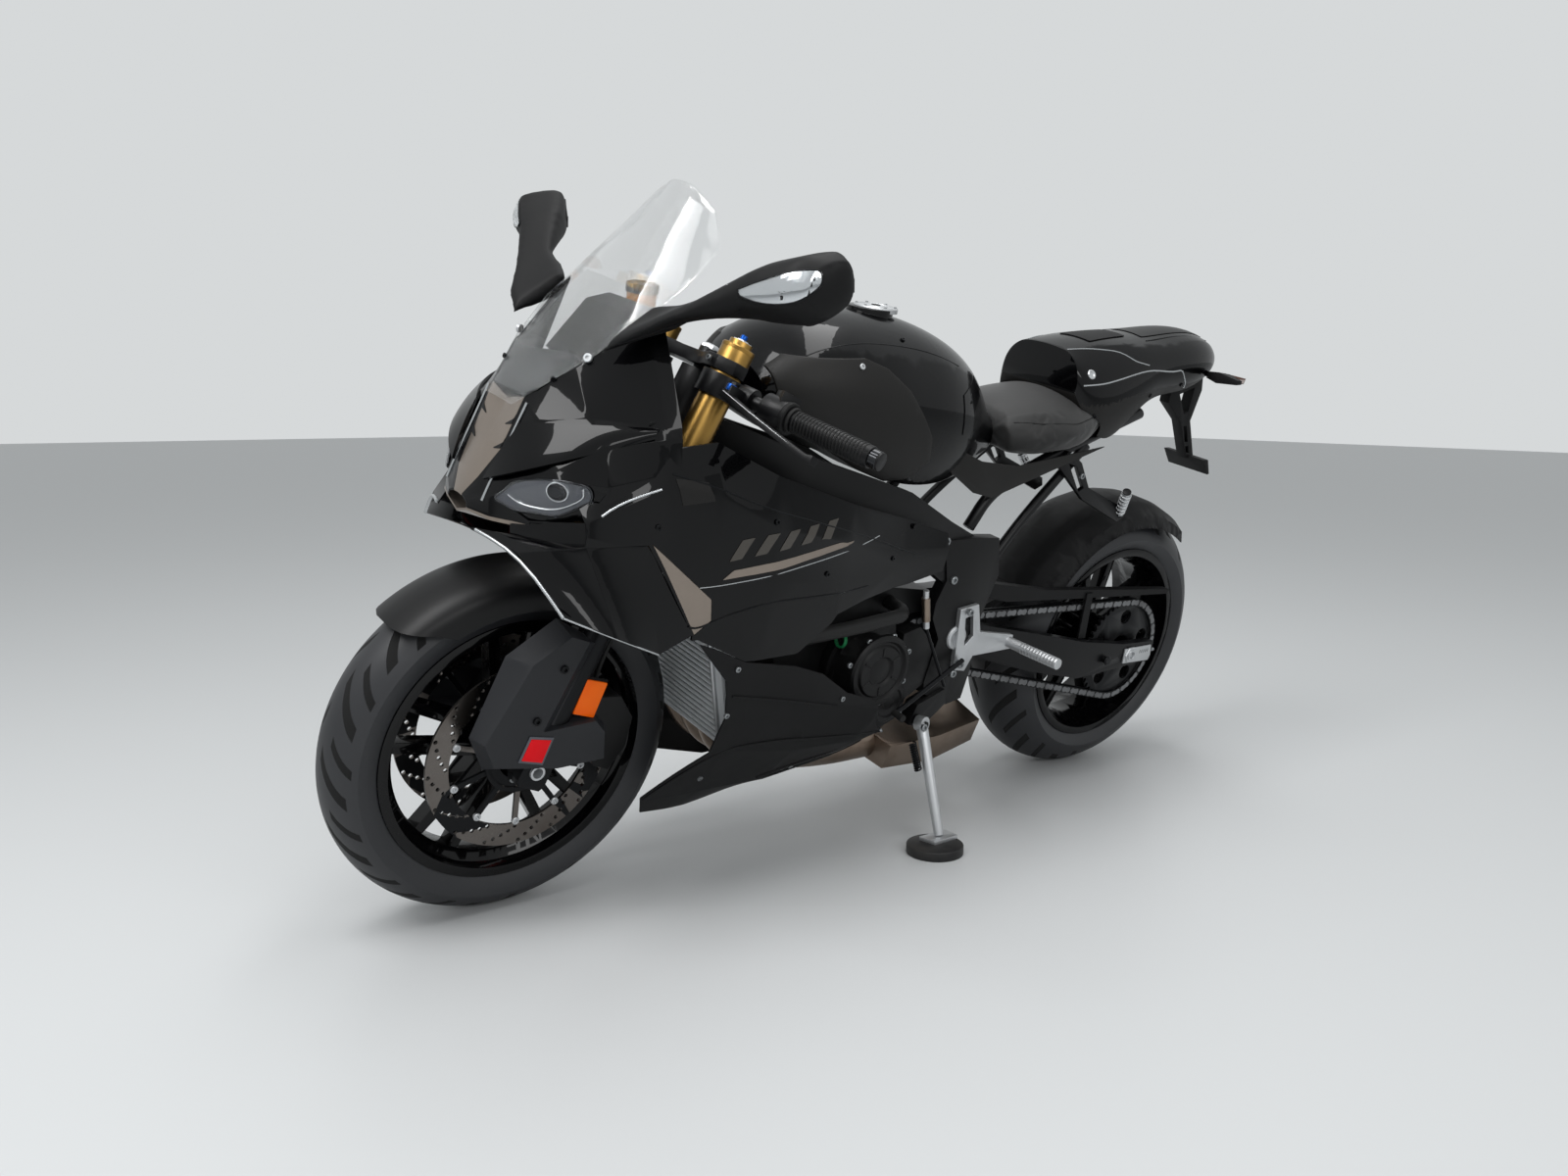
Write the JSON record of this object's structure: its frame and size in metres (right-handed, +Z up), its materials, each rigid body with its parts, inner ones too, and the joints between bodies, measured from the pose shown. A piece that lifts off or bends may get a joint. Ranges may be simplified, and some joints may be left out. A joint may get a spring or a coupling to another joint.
{
  "type": "sport motorcycle",
  "caption": "Full-size faired sport motorcycle with a swept screen and clip-on bars, leaning on its side stand with the stand's foot on a round puck.",
  "frame": {"origin": "bottom centre of the bounding box, on the floor", "axes": "+X ahead, +Y to the rider's left, +Z up; the machine leans 13 degrees to the left on its side stand and the floor is at z = 0"},
  "size_m": [2.0767, 0.8668, 1.2107],
  "materials": {
    "tyre": "matt",
    "wheel_black": "gloss",
    "disc_steel": "drilled",
    "axle_steel": "satin",
    "cast_alloy": "satin",
    "black_alloy": "satin",
    "gold_anodised": "anodised",
    "frame_black": "matt",
    "gloss_black": "gloss",
    "matt_black": "matt",
    "bronze_taupe": "satin",
    "red_caliper": "gloss",
    "screen_clear": "clear",
    "lamp_lens": "clear",
    "seat_cover": "satin",
    "chain_steel": "satin",
    "exhaust_steel": "heat tinted",
    "tank_black": "gloss",
    "puck_black": "matt",
    "fin_alloy": "satin"
  },
  "bodies": {
    "chassis": {"accent_panels": "bronze_taupe", "belly_pan": "matt_black", "drive_chain": "chain_steel", "engine_block": "black_alloy", "engine_covers": "black_alloy", "exhaust": "exhaust_steel", "footrests": "cast_alloy", "fuel_tank": "tank_black", "headlamps": "lamp_lens", "instrument_panel": "matt_black", "main_frame": "frame_black", "mirrors": "matt_black", "nose_cowl": "gloss_black", "plate_bracket": "matt_black", "radiator": "fin_alloy", "rear_axle": "axle_steel", "rear_caliper": "cast_alloy", "rider_seat": "seat_cover", "side_fairing_left": "gloss_black", "side_fairing_right": "gloss_black", "subframe": "black_alloy", "swingarm": "black_alloy", "swingarm_guards": "matt_black", "tail_cowl": "gloss_black", "tank_covers": "matt_black", "windscreen": "screen_clear", "winglets": "gloss_black"},
    "steering": {"fork_clamps": "cast_alloy", "fork_tubes": "gold_anodised", "fork_sliders": "black_alloy", "front_axle": "axle_steel", "handlebars": "black_alloy", "hand_controls": "black_alloy", "front_mudguard": "matt_black", "fork_guards": "matt_black", "front_calipers": "red_caliper"},
    "front_wheel": {"front_rim": "wheel_black", "front_tyre": "tyre", "front_discs": "disc_steel"},
    "rear_wheel": {"rear_rim": "wheel_black", "rear_tyre": "tyre", "rear_disc": "disc_steel", "rear_sprocket": "disc_steel"},
    "side_stand": {"side_stand_leg": "cast_alloy", "stand_puck": "puck_black"}
  },
  "joints": [
    {"name": "steering_head", "type": "hinge", "parent": "chassis", "child": "steering", "pos_m": [0.51212, -0.06737, 0.72926], "axis": [-0.4003, 0.2061, 0.8929], "range_deg": [-24, 24]},
    {"name": "front_wheel_spin", "type": "hinge", "parent": "steering", "child": "front_wheel", "pos_m": [0.7385, -0.16786, 0.29398], "axis": [0, 0.9744, -0.225], "continuous": true},
    {"name": "rear_wheel_spin", "type": "hinge", "parent": "chassis", "child": "rear_wheel", "pos_m": [-0.7185, -0.16315, 0.31436], "axis": [0, 0.9744, -0.225], "continuous": true},
    {"name": "side_stand_fold", "type": "hinge", "parent": "chassis", "child": "side_stand", "pos_m": [-0.057, -0.00335, 0.22859], "axis": [-0.1965, 0.9794, -0.047], "range_deg": [0, 81]}
  ]
}
